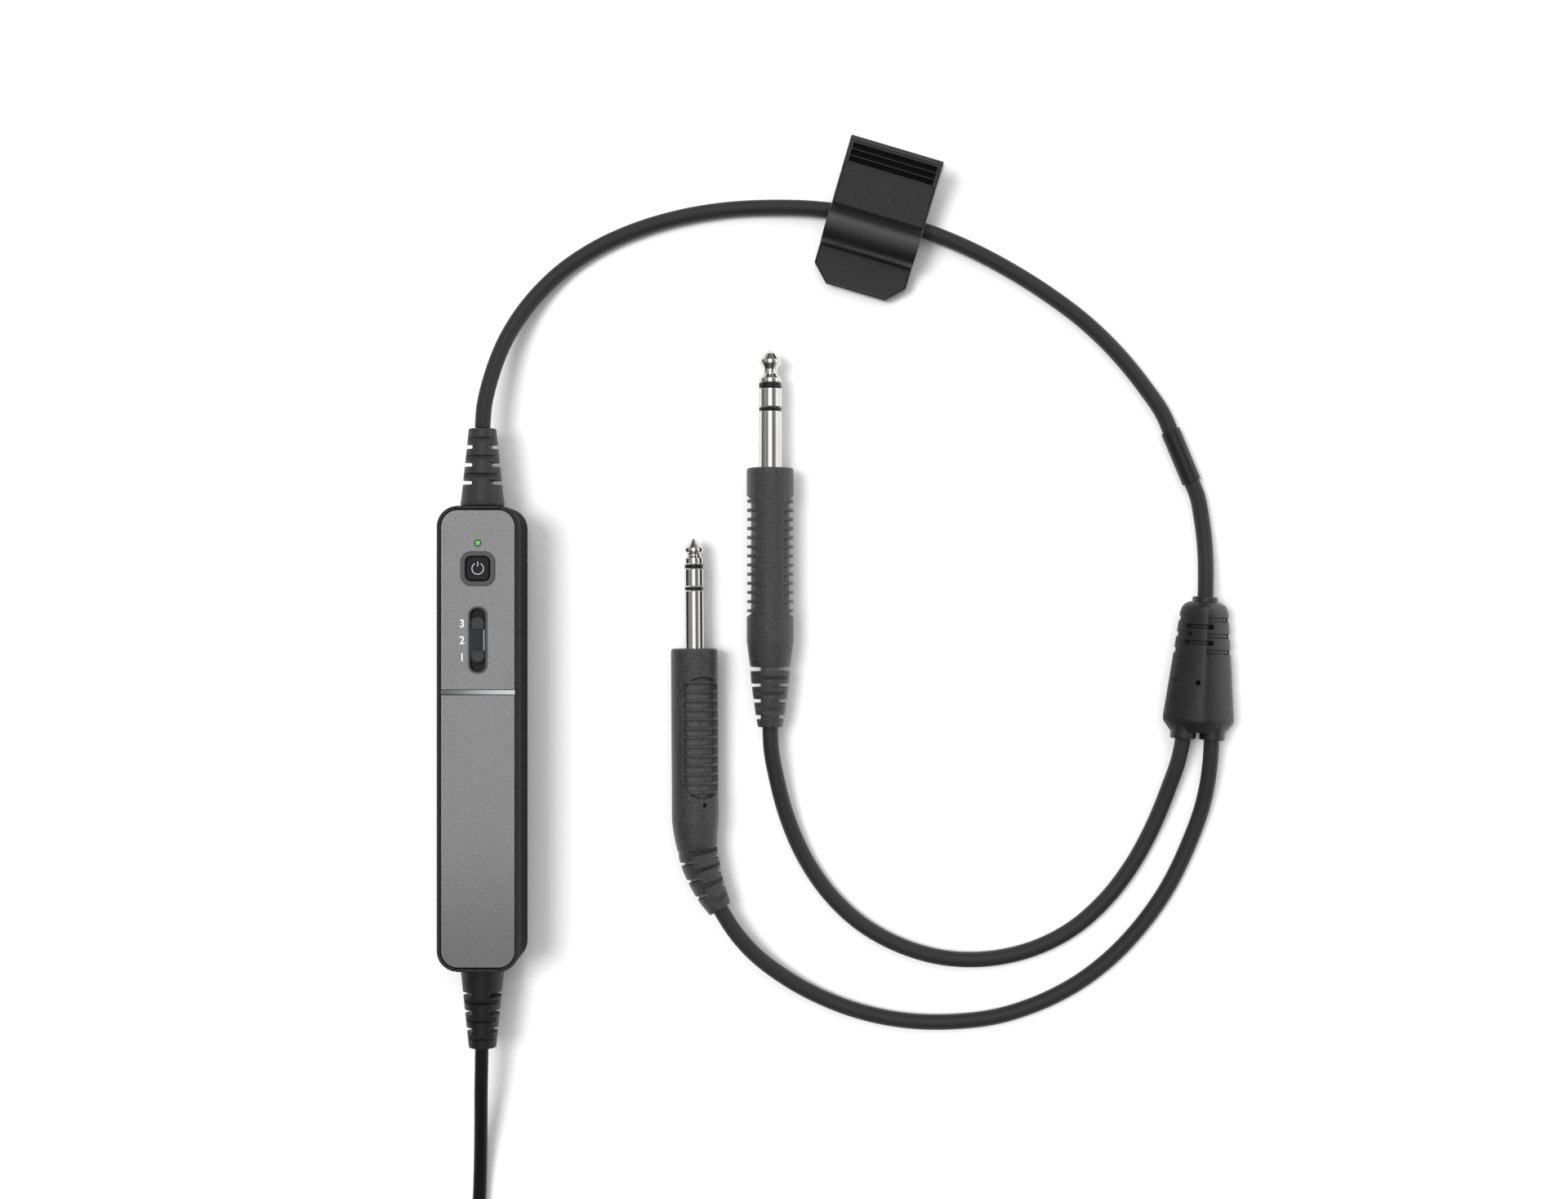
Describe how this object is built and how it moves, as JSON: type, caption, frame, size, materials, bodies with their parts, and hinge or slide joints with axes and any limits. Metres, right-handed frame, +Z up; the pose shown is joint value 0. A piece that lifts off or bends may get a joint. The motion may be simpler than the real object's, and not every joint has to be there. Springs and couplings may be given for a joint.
{
  "type": "aviation headset down lead with control module",
  "caption": "In-line headset control module with a button, a slider and a battery bay, on a corded lead with a clothing clip, a Y-splitter and two aircraft audio plugs.",
  "frame": {"origin": "bottom centre of the control module, on the surface that it lies on", "axes": "+Y along the module from its headset cord to its plug cord, +Z up from the battery door to the face plates, +X towards the plugs"},
  "size_m": [0.2118, 0.3456, 0.021],
  "materials": {
    "case_plastic": "satin moulded plastic",
    "face_metal": "satin grey metal with a fine grain",
    "bright_strip": "polished",
    "button_plastic": "smooth, near black",
    "surround_plastic": "satin grey",
    "status_lens": "clear green",
    "board": "green solder mask",
    "chip": "moulded epoxy",
    "cell_jacket": "printed foil jacket, plain grey",
    "contact_nickel": "nickel plated",
    "steel": "zinc plated",
    "boot_rubber": "matt moulded rubber",
    "cord_jacket": "matt extruded jacket",
    "sleeve_plastic": "smooth shrink sleeve",
    "tie_fabric": "woven hook-and-loop strap",
    "clip_plastic": "fine moulded grain",
    "handle_rubber": "fine moulded grain",
    "insulator_plastic": "smooth black",
    "plug_nickel": "polished nickel"
  },
  "bodies": {
    "lead": {"front_bezel": "case_plastic", "rear_shell": "case_plastic", "upper_end_insert": "case_plastic", "lower_end_insert": "case_plastic", "upper_face_plate": "face_metal", "lower_face_plate": "face_metal", "accent_strip": "bright_strip", "button_surround": "surround_plastic", "slot_frame": "surround_plastic", "status_lens": "status_lens", "circuit_board": "board", "signal_processor": "chip", "button_switch": "chip", "slide_switch_body": "chip", "status_light": "chip", "battery_cell_1": "cell_jacket", "battery_cell_2": "cell_jacket", "contact_plate": "contact_nickel", "spring_plate": "contact_nickel", "contact_spring": "contact_nickel", "case_screw_left": "steel", "case_screw_right": "steel", "connector_shell": "steel", "clip_hinge_pin": "steel", "clip_spring": "steel", "upper_boot": "boot_rubber", "lower_boot": "boot_rubber", "connector_boot": "boot_rubber", "main_cord": "cord_jacket", "inner_branch_cord": "cord_jacket", "outer_branch_cord": "cord_jacket", "headset_cord": "cord_jacket", "headset_cord_tail": "cord_jacket", "headset_cord_coil": "cord_jacket", "coil_tie": "tie_fabric", "connector_insert": "insulator_plastic", "marker_sleeve": "sleeve_plastic", "y_splitter": "handle_rubber", "large_plug_handle": "handle_rubber", "small_plug_handle": "handle_rubber", "clip_lower_jaw": "clip_plastic", "large_plug_insulator_1": "insulator_plastic", "large_plug_insulator_2": "insulator_plastic", "large_plug_ring": "plug_nickel", "large_plug_sleeve": "plug_nickel", "large_plug_tip": "plug_nickel", "small_plug_insulator_1": "insulator_plastic", "small_plug_insulator_2": "insulator_plastic", "small_plug_ring": "plug_nickel", "small_plug_sleeve": "plug_nickel", "small_plug_tip": "plug_nickel"},
    "button": {"power_button": "button_plastic"},
    "slider": {"level_slider": "button_plastic"},
    "door": {"battery_door": "case_plastic"},
    "clip_jaw": {"clip_upper_jaw": "clip_plastic"}
  },
  "joints": [
    {"name": "button_press", "type": "slide", "parent": "lead", "child": "button", "axis": [0, 0, -1], "range_m": [0, 0.0005], "stiffness_N_per_m": 200},
    {"name": "level_slide", "type": "slide", "parent": "lead", "child": "slider", "axis": [0, 1, 0], "range_m": [-0.0021, 0.0021]},
    {"name": "door_slide", "type": "slide", "parent": "lead", "child": "door", "axis": [0, -1, 0], "range_m": [0, 0.006]},
    {"name": "clip_open", "type": "hinge", "parent": "lead", "child": "clip_jaw", "pos_m": [0.10304, 0.13155, 0.0052], "axis": [-0.9583, 0.2857, 0], "range_deg": [0, 11], "stiffness_Nm_per_rad": 0.1, "springref_deg": -28.65}
  ]
}
